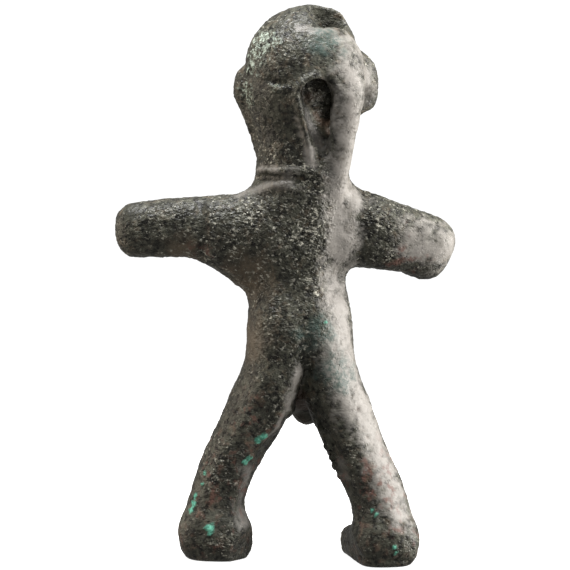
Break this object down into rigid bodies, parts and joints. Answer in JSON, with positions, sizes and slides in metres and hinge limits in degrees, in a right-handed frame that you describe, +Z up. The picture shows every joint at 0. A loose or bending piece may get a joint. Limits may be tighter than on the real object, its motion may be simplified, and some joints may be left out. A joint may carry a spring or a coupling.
{
  "type": "votive figurine",
  "caption": "Small solid-cast bronze standing nude man with splayed legs, outstretched stump arms, big ears, a hollow in the crown and a pierced hanging loop at the nape.",
  "frame": {"origin": "middle of the bounding box, at the level of the soles", "axes": "+Z up along the figure's height; the figure faces -Y, its back is +Y and its left hand is towards +X"},
  "size_m": [0.0398, 0.0158, 0.065],
  "materials": {
    "bronze": "tin bronze with a dark, satin, finely pitted patina and spots of green"
  },
  "bodies": {
    "root": {"figurine": "bronze"}
  },
  "joints": []
}
